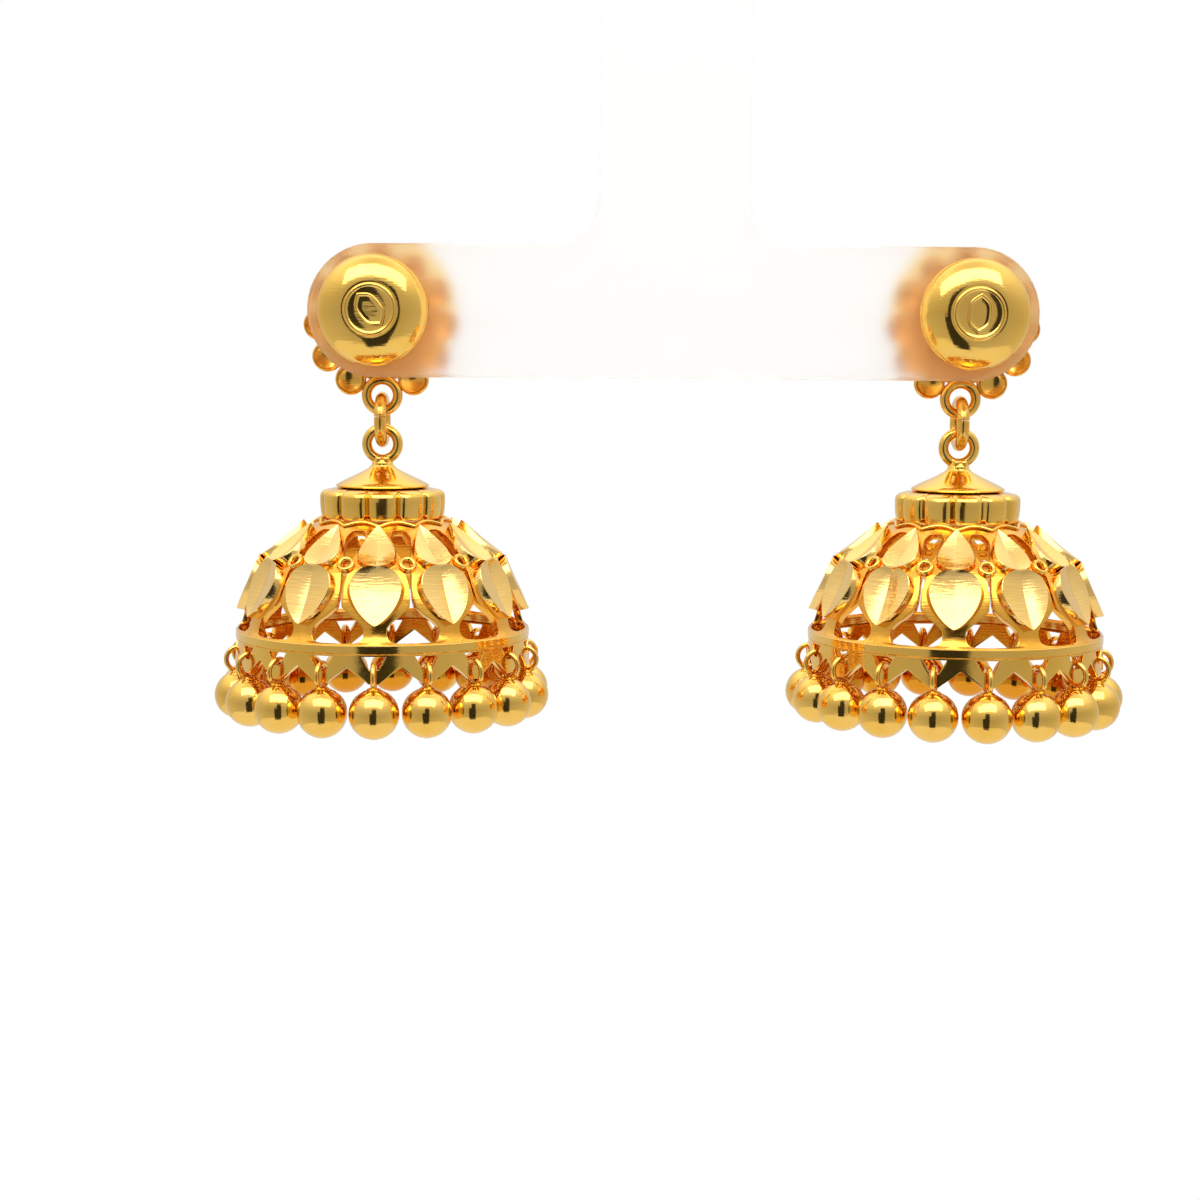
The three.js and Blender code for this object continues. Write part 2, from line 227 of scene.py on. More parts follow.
def lay_piece(name, shells, finish, body, stands_for=(), crease=38, closed=True, cut_lines=None):
    """A mesh in metres from shells in millimetres. Points that meet are merged, which closes
    seams and poles, and the faces of closed shells are turned outwards. cut_lines is a UV
    pair for each point."""
    points, faces = together(*shells)
    mesh = bpy.data.meshes.new(name)
    mesh.from_pydata((points * mm).tolist(), [], faces)
    if cut_lines is not None:
        corner = np.empty(len(mesh.loops), dtype=np.int32)
        mesh.loops.foreach_get("vertex_index", corner)
        layer = mesh.uv_layers.new(name="cut_lines")
        layer.data.foreach_set("uv", cut_lines[corner].astype(np.float32).ravel())
    shaped = bmesh.new()
    shaped.from_mesh(mesh)
    bmesh.ops.remove_doubles(shaped, verts=shaped.verts, dist=0.0005 * mm)
    if closed:
        bmesh.ops.recalc_face_normals(shaped, faces=shaped.faces)
    shaped.to_mesh(mesh)
    shaped.free()
    mesh.shade_smooth()
    mesh.set_sharp_from_angle(angle=math.radians(crease))
    mesh.materials.append(finish)
    piece = bpy.data.objects.new(name, mesh)
    scene.collection.objects.link(piece)
    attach(piece, body)
    if stands_for:
        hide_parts(*stands_for)
    return piece


def arc(centre, radius, start, end, steps=24):
    """Points of an arc in the XZ plane, from one angle to another in degrees."""
    angle = np.radians(np.linspace(start, end, steps))
    return np.stack([centre[0] + radius * np.cos(angle), centre[1] + radius * np.sin(angle)], -1)


def strip_outline(inset):
    """The T's outline drawn in by the inset: arm ends and top corners are round, and the
    inner corners are hollow, so their arcs grow by it."""
    half, top = column_width / 2, strip_high[2]
    shelf = strip_low[2] + arm_height
    hollow, full, corner = inner_corner + inset, arm_end - inset, top_corner - inset
    return np.concatenate([
        arc((-half + top_corner, top - top_corner), corner, 90, 180, 8),
        arc((-half - inner_corner, shelf + inner_corner), hollow, 0, -90, 12),
        arc((-post_x, post_height), full, 90, 270),
        arc((post_x, post_height), full, -90, 90),
        arc((half + inner_corner, shelf + inner_corner), hollow, 270, 180, 12),
        arc((half - top_corner, top - top_corner), corner, 0, 90, 8),
    ])


def at_depth(outline, depth):
    """Points of the XZ plane set at a depth along Y."""
    return np.insert(outline, 1, depth, axis=1)


quarter = np.radians(np.linspace(0, 90, 5))
edge_rows = [(strip_edge * (1 - math.sin(a)), strip_edge * (1 - math.cos(a))) for a in quarter]
wall_rows = [(inset, -strip_half + depth) for inset, depth in edge_rows]
wall_rows += [(inset, strip_half - depth) for inset, depth in reversed(edge_rows)]
strip_wall = grid(np.stack([at_depth(strip_outline(inset), y) for inset, y in wall_rows]))
bores = [arc((x, post_height), post_hole, 0, 360, 33)[:-1] for x in (-post_x, post_x)]
bore_walls = [grid(np.stack([at_depth(bore, y) for y in (-strip_half, strip_half)])) for bore in bores]


def bored_face(depth):
    """The flat face at a depth: triangles between the outline and the two bores."""
    loops = [at_depth(loop, depth) for loop in (strip_outline(strip_edge), *bores)]
    triangles = tessellate_polygon([[Vector(point) for point in loop] for loop in loops])
    return np.concatenate(loops), np.array(triangles)


def new_finish(name):
    """An empty node material: the material, its nodes and links, and its main shader."""
    made = bpy.data.materials.new(name)
    made.use_nodes = True
    tree = made.node_tree
    return made, tree.nodes, tree.links, tree.nodes["Principled BSDF"]


acrylic, nodes, links, shader = new_finish("milky_acrylic")
shader.inputs["Transmission Weight"].default_value = clearness
shader.inputs["IOR"].default_value = light_bending
where = nodes.new("ShaderNodeTexCoord").outputs["Object"]
one_side = nodes.new("ShaderNodeVectorMath")
one_side.operation = "ABSOLUTE"
links.new(where, one_side.inputs[0])
from_post = nodes.new("ShaderNodeVectorMath")
from_post.operation = "MULTIPLY_ADD"
from_post.inputs[1].default_value = (1, 0, 1)
from_post.inputs[2].default_value = (-post_x * mm, 0, post_height * mm)
links.new(one_side.outputs[0], from_post.inputs[0])
reach = nodes.new("ShaderNodeVectorMath")
reach.operation = "LENGTH"
links.new(from_post.outputs[0], reach.inputs[0])
# Painted reflection of the gold flower: within a radius of each post the acrylic's colour turns warm.
painted_reflection_edge = nodes.new("ShaderNodeMapRange")
painted_reflection_edge.interpolation_type = "SMOOTHSTEP"
painted_reflection_edge.inputs["From Min"].default_value = painted_reflection_radius * mm
painted_reflection_edge.inputs["From Max"].default_value = (painted_reflection_radius + painted_reflection_fade) * mm
links.new(reach.outputs["Value"], painted_reflection_edge.inputs["Value"])
painted_reflection_mix = nodes.new("ShaderNodeMix")
painted_reflection_mix.data_type = "RGBA"
painted_reflection_mix.inputs["A"].default_value = (*painted_gold_reflection_tone, 1)
painted_reflection_mix.inputs["B"].default_value = (*clear_acrylic, 1)
links.new(painted_reflection_edge.outputs[0], painted_reflection_mix.inputs["Factor"])
links.new(painted_reflection_mix.outputs["Result"], shader.inputs["Base Color"])
smudges = nodes.new("ShaderNodeTexNoise")
smudges.inputs["Scale"].default_value = smudges_per_metre
smudges.inputs["Detail"].default_value = 3
links.new(where, smudges.inputs["Vector"])
smudge_range = nodes.new("ShaderNodeMapRange")
smudge_range.inputs["To Min"].default_value = smudge_roughness[0]
smudge_range.inputs["To Max"].default_value = smudge_roughness[1]
links.new(smudges.outputs[0], smudge_range.inputs["Value"])
links.new(smudge_range.outputs[0], shader.inputs["Roughness"])
ripple = nodes.new("ShaderNodeBump")
ripple.inputs["Strength"].default_value = ripple_strength
ripple.inputs["Distance"].default_value = ripple_depth * mm
links.new(smudges.outputs[0], ripple.inputs["Height"])
links.new(ripple.outputs[0], shader.inputs["Normal"])

lay_piece(
    "acrylic_strip", [strip_wall, *bore_walls, bored_face(-strip_half), bored_face(strip_half)],
    acrylic, "root", ["display_strip"],
)

# Screw backs. Each is a hollow gold dome, spun and polished, on a thin plate that screws on
# the post. Its flat top has a raised ring round it and a plain raised frame in its middle.
back_radius = 3.25
back_top = 1.5
back_slope = 1.2
back_bore = 0.6
back_roof = 0.35
rim_roll = 0.15
groove_width = 0.06
groove_depth = 0.07
top_dip = 0.05
frame_half_length = 1.18
frame_half_width = 0.7
frame_point = 0.42
frame_corner = 6
frame_room = 0.14
frame_turns = {"left": -0.9, "right": 1.5}
# A gold has its tone and a deeper one, and then its roughness, its haze and its ripple.
polished_tones = ((0.96, 0.6, 0.14), (0.93, 0.55, 0.1))
polished_surface = (0.04, 0.12, 0.25)


def gold_group():
    """Gold's own unevenness, from Object coordinates: a drift between two tones, a fine haze
    in the polish, and shallow ripples and hairlines as a normal."""
    group = bpy.data.node_groups.new("gold_surface", "ShaderNodeTree")
    sockets = group.interface.new_socket
    for name, kind in [("Tone", "NodeSocketColor"), ("Deep Tone", "NodeSocketColor"),
                       ("Polish", "NodeSocketFloat"), ("Haze", "NodeSocketFloat"),
                       ("Ripple", "NodeSocketFloat")]:
        sockets(name=name, in_out="INPUT", socket_type=kind)
    for name, kind in [("Color", "NodeSocketColor"), ("Roughness", "NodeSocketFloat"),
                       ("Normal", "NodeSocketVector")]:
        sockets(name=name, in_out="OUTPUT", socket_type=kind)
    make, link = group.nodes.new, group.links.new
    given, given_back = make("NodeGroupInput"), make("NodeGroupOutput")
    where = make("ShaderNodeTexCoord").outputs["Object"]
    drift, haze, hairline = (make("ShaderNodeTexNoise") for _ in range(3))
    for noise, scale, detail in [(drift, 420, 2), (haze, 2600, 4), (hairline, 900, 3)]:
        noise.inputs["Scale"].default_value = scale
        noise.inputs["Detail"].default_value = detail
    link(where, drift.inputs["Vector"])
    link(where, haze.inputs["Vector"])
    stretched = make("ShaderNodeMapping")
    stretched.inputs["Scale"].default_value = (1, 1, 9)
    stretched.inputs["Rotation"].default_value = (0.5, 0.2, 0.3)
    link(where, stretched.inputs["Vector"])
    link(stretched.outputs[0], hairline.inputs["Vector"])
    tones = make("ShaderNodeMix")
    tones.data_type = "RGBA"
    spread = make("ShaderNodeMapRange")
    spread.inputs["From Min"].default_value = 0.35
    spread.inputs["From Max"].default_value = 0.7
    link(drift.outputs[0], spread.inputs["Value"])
    link(spread.outputs[0], tones.inputs["Factor"])
    link(given.outputs["Tone"], tones.inputs["A"])
    link(given.outputs["Deep Tone"], tones.inputs["B"])
    link(tones.outputs["Result"], given_back.inputs["Color"])
    uneven = make("ShaderNodeMath")
    uneven.operation = "MULTIPLY_ADD"
    link(haze.outputs[0], uneven.inputs[0])
    link(given.outputs["Haze"], uneven.inputs[1])
    link(given.outputs["Polish"], uneven.inputs[2])
    link(uneven.outputs[0], given_back.inputs["Roughness"])
    relief = make("ShaderNodeMath")
    relief.operation = "MULTIPLY_ADD"
    link(hairline.outputs[0], relief.inputs[0])
    relief.inputs[1].default_value = 0.3
    link(drift.outputs[0], relief.inputs[2])
    bump = make("ShaderNodeBump")
    bump.inputs["Distance"].default_value = 0.1 * mm
    link(given.outputs["Ripple"], bump.inputs["Strength"])
    link(relief.outputs[0], bump.inputs["Height"])
    link(bump.outputs[0], given_back.inputs["Normal"])
    return group


gold_surface = gold_group()


def gold_finish(name, tone, deep_tone, polish, haze, ripple):
    """A gold: the shared surface group with its own tones and polish, in a metal shader."""
    made, nodes, links, shader = new_finish(name)
    shader.inputs["Metallic"].default_value = 1
    surface = nodes.new("ShaderNodeGroup")
    surface.node_tree = gold_surface
    surface.inputs["Tone"].default_value = (*tone, 1)
    surface.inputs["Deep Tone"].default_value = (*deep_tone, 1)
    surface.inputs["Polish"].default_value = polish
    surface.inputs["Haze"].default_value = haze
    surface.inputs["Ripple"].default_value = ripple
    links.new(surface.outputs["Color"], shader.inputs["Base Color"])
    links.new(surface.outputs["Roughness"], shader.inputs["Roughness"])
    links.new(surface.outputs["Normal"], shader.inputs["Normal"])
    return made


polished_gold = gold_finish("polished_gold", *polished_tones, *polished_surface)


def turned(profile, sides):
    """A profile of (radius, height) pairs turned about an axis: rows follow the profile, and
    columns go round. Gives local x, y and the height along the axis."""
    radius, height = np.array(profile, dtype=float).T
    angle = np.linspace(0, 2 * np.pi, sides, endpoint=False)
    return np.stack([
        radius[:, None] * np.cos(angle), radius[:, None] * np.sin(angle),
        np.repeat(height[:, None], sides, 1),
    ], -1)


def facing(points, centre, towards):
    """Local points with their axis laid along Y, towards the photo (-1) or the flower (1)."""
    x, y, height = np.moveaxis(points, -1, 0)
    return np.stack([centre[0] + x, centre[1] + towards * height, centre[2] + y], -1)


def back_profile(depth):
    """Bore, plate edge rolled round, a dome, a groove, a raised ring and a slightly crowned
    flat top. The dome is a quarter ellipse whose cosine and sine are raised to a power, which
    leaves its slope straighter."""
    roll = [(back_radius - rim_roll + rim_roll * math.sin(a), rim_roll * (1 - math.cos(a)))
            for a in np.radians(np.linspace(0, 150, 7))]
    foot = roll[-1][1] + 0.02
    reach = back_radius - back_top - 2 * groove_width
    crown = [(back_top + groove_width + reach * math.cos(a) ** back_slope,
              foot + (depth - groove_depth - foot) * math.sin(a) ** back_slope)
             for a in np.radians(np.linspace(0, 86, 24))]
    ring = [(back_top + 0.05, depth - 0.1), (back_top + 0.01, depth - 0.04), (back_top - 0.05, depth),
            (back_top - 0.12, depth), (back_top - 0.19, depth - 0.05), (back_top - 0.24, depth - 0.075)]
    top = [(back_top * 0.5, depth - top_dip), (0, depth - top_dip + 0.005)]
    bore = [(0, depth - back_roof), (back_bore, depth - back_roof), (back_bore, 0)]
    return [*bore, *roll, *crown, *ring, *top]


def plain_frame(turn, depth):
    """A long hexagon with rounded corners, whose rim stands over a plain field. It is where
    two high powers add up to one: the one of y, and the one of x with a share of y added.
    Rows are the hexagon scaled towards its middle, and each has its own height."""
    angle = np.linspace(0, 2 * np.pi, 96, endpoint=False)
    across = np.abs(np.sin(angle)) ** frame_corner
    pointed = (np.abs(np.cos(angle)) + frame_point * np.abs(np.sin(angle))) ** frame_corner
    reach = (across + pointed) ** (-1 / frame_corner)
    x = frame_half_length * reach * np.cos(angle)
    y = frame_half_width * reach * np.sin(angle)
    steps = [(0, -0.1), (1, -0.1), (1, 0.06), (0.97, 0.1), (0.9, 0.115), (0.84, 0.1),
             (0.79, 0.04), (0.75, 0.025), (0.4, 0.03), (0, 0.035)]
    rows = [np.stack([
        scale * (x * math.cos(turn) - y * math.sin(turn)),
        scale * (x * math.sin(turn) + y * math.cos(turn)),
        np.full_like(x, depth - top_dip + height),
    ], -1) for scale, height in steps]
    return np.stack(rows)


for side in ("left", "right"):
    low, high = (np.array(corner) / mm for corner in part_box(f"{side}_screw_back"))
    middle = ((low[0] + high[0]) / 2, high[1], (low[2] + high[2]) / 2)
    dome_depth = high[1] - low[1] - frame_room
    dome = grid(facing(turned(back_profile(dome_depth), 96), middle, -1))
    cartouche = grid(facing(plain_frame(frame_turns[side], dome_depth), middle, -1))
    lay_piece(
        f"{side}_polished_screw_back", [dome, cartouche], polished_gold, "root",
        [f"{side}_screw_back"], crease=50,
    )

# Studs. Each is a gold flower, a plate with eleven domed petals, six more and a heart, all
# soldered to a straight post. A wire loop takes the place of the lowest petal. The flower's
# back lies against the strip, and its faces towards the strip carry painted shade, a deep
# orange for the shade and the gold's reflections there.
post_radius = 0.45
post_taper = 0.1
post_sunk = 0.3
plate_radius = 3.3
plate_thickness = 0.45
plate_offset = 0.15
plate_edges = (0.08, 0.1)
flower_drop = 0.8
petal_radius = 0.93
petal_rise = 1.2
petal_hollow = 0.3
petal_rim = 0.14
petal_crease = (0.13, 0.16)
petal_circle = 3.75
petal_places = 12
inner_rise = 1.3
inner_radius = 0.72
inner_circle = 1.95
inner_places = 6
heart_radius = 1.15
loop_radius = 0.93
loop_wire = 0.3
loop_solder = 0.36
loop_solder_lift = 0.1

# Painted shade and painted reflection: the deep oranges that faces turned inwards, or towards the strip, are
# painted in.
painted_inner_shade = (0.8, 0.31, 0.02)
painted_back_shade = (0.76, 0.23, 0.012)
deep_tones = ((0.94, 0.53, 0.11), (0.9, 0.48, 0.08))
wire_surface = (0.06, 0.16, 0.4)
flower_surface = (0.08, 0.16, 0.4)


def painted_shade_gold(name, tones, surface, centre, spread, shade_tone=painted_inner_shade):
    """A gold with painted shade on its inner side: where the surface faces inwards, its colour
    is turned towards a deep orange that stands for shade and the gold's reflections of itself.
    The way out is the place times the spread, less the centre, and the dot product of that and
    the surface's normal, below zero, turns one tone to the other."""
    made = gold_finish(name, *tones, *surface)
    tree = made.node_tree
    nodes, links, shader = tree.nodes, tree.links, tree.nodes["Principled BSDF"]
    outwards = nodes.new("ShaderNodeMapping")
    outwards.inputs["Location"].default_value = [-part * mm for part in centre]
    outwards.inputs["Scale"].default_value = spread
    links.new(nodes.new("ShaderNodeTexCoord").outputs["Object"], outwards.inputs["Vector"])
    way = nodes.new("ShaderNodeVectorMath")
    way.operation = "NORMALIZE"
    links.new(outwards.outputs[0], way.inputs[0])
    faces_out = nodes.new("ShaderNodeVectorMath")
    faces_out.operation = "DOT_PRODUCT"
    links.new(way.outputs[0], faces_out.inputs[0])
    links.new(nodes.new("ShaderNodeNewGeometry").outputs["Normal"], faces_out.inputs[1])
    painted_shade_share = nodes.new("ShaderNodeMapRange")
    painted_shade_share.inputs["From Min"].default_value = 0
    painted_shade_share.inputs["From Max"].default_value = -0.4
    # Painted shade: the share of the deep orange grows as the surface turns inwards.
    links.new(faces_out.outputs["Value"], painted_shade_share.inputs["Value"])
    blend = nodes.new("ShaderNodeMix")
    blend.data_type = "RGBA"
    links.new(painted_shade_share.outputs[0], blend.inputs["Factor"])
    links.new(shader.inputs["Base Color"].links[0].from_socket, blend.inputs["A"])
    blend.inputs["B"].default_value = (*shade_tone, 1)
    links.new(blend.outputs["Result"], shader.inputs["Base Color"])
    return made


deep_gold = gold_finish("deep_gold", *deep_tones, *wire_surface)
# Painted shade: the flower's faces towards the strip are painted a deep orange.
flower_gold = painted_shade_gold(
    "flower_gold", deep_tones, flower_surface, (0, -1, 0), (0, 0, 0), painted_back_shade
)


def domed_petal(radius, height, angle, hollow):
    """A round petal raised to a dome, with a crease cut from the flower's middle outwards:
    the dome less a narrow bell curve along one diameter. Its back is dished by the hollow."""
    steps = [(0, hollow), (0.55, hollow * 0.9), (0.8, hollow * 0.35), (0.88, 0), (0.96, 0.04),
             (1, petal_rim)]
    dome = [(math.cos(a), petal_rim + (height - petal_rim) * math.sin(a))
            for a in np.radians(np.linspace(8, 90, 12))]
    points = turned([(share * radius, rise) for share, rise in steps + dome], 40)
    across = points[..., 0] * math.cos(angle) + points[..., 1] * math.sin(angle)
    crease_width, crease_depth = petal_crease
    groove = crease_depth * height * np.exp(-((across / (crease_width * radius)) ** 2))
    points[len(steps):, :, 2] -= (groove * (points[..., 2] / height))[len(steps):]
    return points


def wire_ring(centre, radius, wire, plane, start=0, end=360, around=64, sides=20):
    """Round wire bent in a ring: the section's circle carried along the ring's. The plane's
    two unit vectors hold the ring. A ring that stops short has its ends domed shut."""
    first, second = (np.array(vector, dtype=float) for vector in plane)
    normal = np.cross(first, second)
    whole = end - start >= 360
    turn = np.radians(np.linspace(start, end, around, endpoint=not whole))
    section = np.radians(np.linspace(0, 360, sides, endpoint=False))
    size = np.full(around, wire)
    if not whole:
        turn = np.concatenate([turn[:1], turn[:1], turn, turn[-1:], turn[-1:]])
        size = np.concatenate([[0, wire * 0.85], size, [wire * 0.85, 0]])
    out = np.cos(turn)[:, None] * first + np.sin(turn)[:, None] * second
    reach = radius + size[:, None] * np.cos(section)
    rise = size[:, None] * np.sin(section)
    points = np.array(centre) + reach[..., None] * out[:, None] + rise[..., None] * normal
    return grid(points, tube=whole)


def ball(centre, radius):
    """A sphere: a half circle turned about the upright axis."""
    lift = np.radians(np.linspace(-90, 90, 17))
    points = turned([(radius * math.cos(a), radius * math.sin(a)) for a in lift], 28)
    return grid(points + np.array(centre))


facing_photo = ((1, 0, 0), (0, 0, 1))
facing_side = ((0, 1, 0), (0, 0, 1))

for side in ("left", "right"):
    low, high = (np.array(corner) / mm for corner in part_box(f"{side}_stud"))
    post = (-post_x if side == "left" else post_x, post_height)
    ring_low, ring_high = (np.array(corner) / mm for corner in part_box(f"{side}_jump_ring"))
    hang_x, hang_y = (ring_low[0] + ring_high[0]) / 2, (ring_low[1] + ring_high[1]) / 2
    plate_back = hang_y - plate_offset
    middle = (hang_x, plate_back, post[1] - flower_drop)
    post_length = plate_back + post_sunk - low[1]
    rod = turned([(0, 0), (post_radius - post_taper, 0), (post_radius, post_taper),
                  (post_radius, post_length), (0, post_length)], 32)
    back_edge, front_edge = plate_edges
    plate = turned([(0, 0), (plate_radius - back_edge, 0), (plate_radius, back_edge),
                    (plate_radius, plate_thickness - front_edge),
                    (plate_radius - front_edge, plate_thickness), (0, plate_thickness)], 64)
    shells = [grid(facing(rod, (post[0], low[1], post[1]), 1)), grid(facing(plate, middle, 1))]
    for place in range(1, petal_places):
        angle = 2 * math.pi * place / petal_places
        spot = (middle[0] + petal_circle * math.sin(angle), middle[1],
                middle[2] - petal_circle * math.cos(angle))
        petal = domed_petal(petal_radius, petal_radius * petal_rise, angle, petal_hollow)
        shells.append(grid(facing(petal, spot, 1)))
    lifted = middle[1] + plate_thickness / 2
    for place in range(inner_places):
        angle = 2 * math.pi * (place + 0.5) / inner_places
        spot = (middle[0] + inner_circle * math.sin(angle), lifted,
                middle[2] - inner_circle * math.cos(angle))
        petal = domed_petal(inner_radius, inner_radius * inner_rise, angle, 0)
        shells.append(grid(facing(petal, spot, 1)))
    heart = turned([(heart_radius * math.cos(a), heart_radius * inner_rise * math.sin(a))
                    for a in np.radians(np.linspace(0, 90, 14))] + [(0, 0)], 48)
    shells.append(grid(facing(heart[::-1], (middle[0], lifted, middle[2]), 1)))
    loop_height = low[2] + loop_radius + loop_wire
    lay_piece(
        f"{side}_flower_stud", shells, flower_gold, "root", [f"{side}_stud"], crease=42,
    )
    loop = wire_ring((hang_x, hang_y, loop_height), loop_radius, loop_wire, facing_photo)
    solder = ball((hang_x, hang_y + loop_solder_lift, loop_height + loop_radius + loop_solder_lift),
                  loop_solder)
    lay_piece(f"{side}_stud_loop", [loop, solder], deep_gold, "root", crease=42)

# Jump rings. Each is a turn of thick round wire through the flower's loop and the bell's eye,
# closed by hand: its cut shows as a dark line on the photo's side.
jump_radius = 1.31
jump_wire = 0.36
cut_angle = 172
cut_opening = 1.3

for side in ("left", "right"):
    low, high = (np.array(corner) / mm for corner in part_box(f"{side}_jump_ring"))
    ring = wire_ring(
        (low + high) / 2, jump_radius, jump_wire, facing_side,
        start=cut_angle + cut_opening, end=cut_angle + 360 - cut_opening, around=96,
    )
    lay_piece(
        f"{side}_cut_ring", [ring], deep_gold, f"{side}_link", [f"{side}_jump_ring"],
    )

# Crowns. The top of each bell is spun and soldered: an eye of wire, a flared neck with a thin
# step, and a collar pressed in twelve lobes, with a scalloped edging under it.
lobes = 12
collar_radius = 3.75
collar_height = 1.8
collar_groove = 0.5
collar_turns = {"left": math.radians(-9), "right": math.radians(15.5)}
neck_radius = 0.62
neck_height = 1.5
neck_solder = [(-0.2, -0.46), (0.26, -0.44), (-0.22, 0.45), (0.22, 0.46)]
upper_solder = 0.22
lower_solder = 0.26
solder_step = 0.27
step_radius = 2.76
step_thickness = 0.27
edging_reach = 0.3
edging_dip = 0.24
edging_half_width = 0.15
edging_half_height = 0.1
satin_tones = ((0.96, 0.59, 0.13), (0.93, 0.54, 0.09))
satin_surface = (0.07, 0.14, 0.35)
leaves_around = 12
leaf_turns = {"left": math.radians(3), "right": math.radians(-10)}

bell_axes = {}
for side in ("left", "right"):
    low, high = (np.array(corner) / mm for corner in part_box(f"{side}_bell"))
    bell_axes[side] = ((low[0] + high[0]) / 2, (low[1] + high[1]) / 2)
# Both bells hang at one height, so the last box gives the heights of both.
eye_height = high[2] - loop_wire - loop_radius
neck_top = eye_height - loop_radius
collar_top = neck_top - neck_height - step_thickness
dome_top = collar_top - collar_height
skirt_bottom = low[2]


def round_bell(side, angle, radius, height):
    """Points at angles round a bell's axis, counted from the photo's side."""
    axis_x, axis_y = bell_axes[side]
    x = axis_x + radius * np.sin(angle)
    y = axis_y - radius * np.cos(angle)
    return np.stack(np.broadcast_arrays(x, y, height), -1)


def lobed_collar(side):
    """A profile turned round the bell, whose radius swells in twelve lobes: broad flat arches,
    one less a fourth power, with a narrow groove between two. A row holds its share of the
    radius, its height over the collar's top and its share of the groove."""
    rows = [(0.3, 0.35, 0), (0.66, 0.12, 0), (0.83, 0.03, 0.3), (0.93, -0.06, 0.7), (0.985, -0.2, 1),
            (1, -0.4, 1), (1, -0.9, 1), (0.99, -1.35, 1), (0.97, -1.65, 0.9), (0.9, -1.8, 0.7),
            (0.3, -1.8, 0)]
    angle = np.linspace(0, 2 * np.pi, lobes * 24, endpoint=False)
    across = ((angle - collar_turns[side]) / (2 * np.pi) * lobes) % 1 * 2 - 1
    lobe = np.sqrt(np.clip(1 - np.abs(across) ** 4, 0, 1)) - 1
    radius = np.array([collar_radius * share + collar_groove * cut * lobe for share, _, cut in rows])
    height = np.array([collar_top + lift for _, lift, _ in rows])[:, None]
    return grid(round_bell(side, angle, radius, height))


def scalloped_edging(side):
    """A thin band carried round under the collar. It dips and reaches out to a point over
    each leaf, and arches over the opening between two."""
    angle = np.linspace(0, 2 * np.pi, leaves_around * 20, endpoint=False)
    bow = 1 - np.abs(np.sin((angle - leaf_turns[side]) * leaves_around / 2))
    section = np.radians(np.linspace(0, 360, 12, endpoint=False))
    reach = collar_radius + 0.02 + edging_reach * bow
    radius = reach + edging_half_width * np.cos(section)[:, None]
    height = dome_top + 0.06 - edging_dip * bow + edging_half_height * np.sin(section)[:, None]
    return grid(round_bell(side, angle, radius, height), tube=True)


def neck_profile():
    """From the eye down: a short stem, a cone that flares to the step, and the step's thin rim
    over a hollow."""
    cone = [(0.84, 0.34), (1.3, 0.51), (1.78, 0.66), (2.2, 0.79), (2.52, 0.9), (step_radius, 0.99)]
    rows = [(0, neck_top + 0.15), (neck_radius * 0.8, neck_top + 0.08), (neck_radius, neck_top - 0.05),
            (neck_radius + 0.02, neck_top - 0.3)]
    rows += [(radius, neck_top - share * neck_height) for radius, share in cone]
    brim = neck_top - neck_height
    rows += [(step_radius + 0.04, brim - 0.05), (step_radius, brim - 0.11), (step_radius - 0.25, brim - 0.13),
             (step_radius - 0.5, collar_top), (step_radius - 0.5, collar_top - 0.3), (0, collar_top - 0.3)]
    return rows


satin_gold = gold_finish("satin_gold", *satin_tones, *satin_surface)

for side in ("left", "right"):
    axis_x, axis_y = bell_axes[side]
    neck = turned(neck_profile(), 96) + np.array([axis_x, axis_y, 0])
    shells = [
        grid(neck), lobed_collar(side), scalloped_edging(side),
        wire_ring((axis_x, axis_y, eye_height), loop_radius, loop_wire, facing_photo),
    ]
    for across, depth in neck_solder:
        shells.append(ball((axis_x + across, axis_y + depth, neck_top + 0.02), upper_solder))
        lower_spot = (axis_x + across * 0.5, axis_y + depth * 0.95, neck_top - solder_step)
        shells.append(ball(lower_spot, lower_solder))
    lay_piece(
        f"{side}_bell_crown", shells, satin_gold, f"{side}_drop", [f"{side}_bell"],
        crease=42,
    )

# Domes. Each is a raised gold sheet, sawn through between the leaves, so a narrow frame is
# left round each leaf. Small wire eyelets are soldered between the two rows of leaves. The
# sheet's inner side is painted a redder gold, painted shade and painted reflection of the gold.
dome_height = 6.55
band_radius = 8.8
sheet = 0.4
dome_edge = 0.05
# Shares of the way out from the collar to the band, and of the way down.
dome_outline = np.array([(0, 0), (0.35, 0.175), (0.66, 0.4), (0.83, 0.64), (0.93, 0.93), (1, 1)])
dome_tones = ((0.92, 0.47, 0.07), (0.88, 0.41, 0.05))
eyelet_radius = 0.4
eyelet_wire = 0.14
eyelet_along = 0.432


def dome_curve():
    """The outline's points joined by smooth cubics (Catmull and Rom's), measured along their
    length: share of the length, radius, height, and the outward normal's two parts."""
    padded = np.vstack([dome_outline[0], dome_outline, dome_outline[-1]])
    pieces = []
    t = np.linspace(0, 1, 40, endpoint=False)[:, None]
    for a, b, c, d in zip(padded, padded[1:], padded[2:], padded[3:]):
        pieces.append(0.5 * (2 * b + (c - a) * t + (2 * a - 5 * b + 4 * c - d) * t**2
                             + (3 * b - a - 3 * c + d) * t**3))
    shares = np.vstack([*pieces, dome_outline[-1:]])
    radius = collar_radius + shares[:, 0] * (band_radius - collar_radius)
    height = dome_top - shares[:, 1] * dome_height
    travel = np.hypot(np.diff(radius), np.diff(height))
    along = np.concatenate([[0], np.cumsum(travel)])
    slope_r, slope_h = np.gradient(radius, along), np.gradient(height, along)
    return along / along[-1], radius, height, -slope_h, slope_r


dome_samples = dome_curve()
leaf_space = 2 * math.pi / leaves_around


def on_dome(side, angle, along, lift):
    """Points over the dome at an angle, a share of its outline and a lift off its sheet."""
    share, *columns = dome_samples
    radius, height, out, up = (np.interp(along, share, column) for column in columns)
    return round_bell(side, angle, radius + lift * out, height + lift * up)


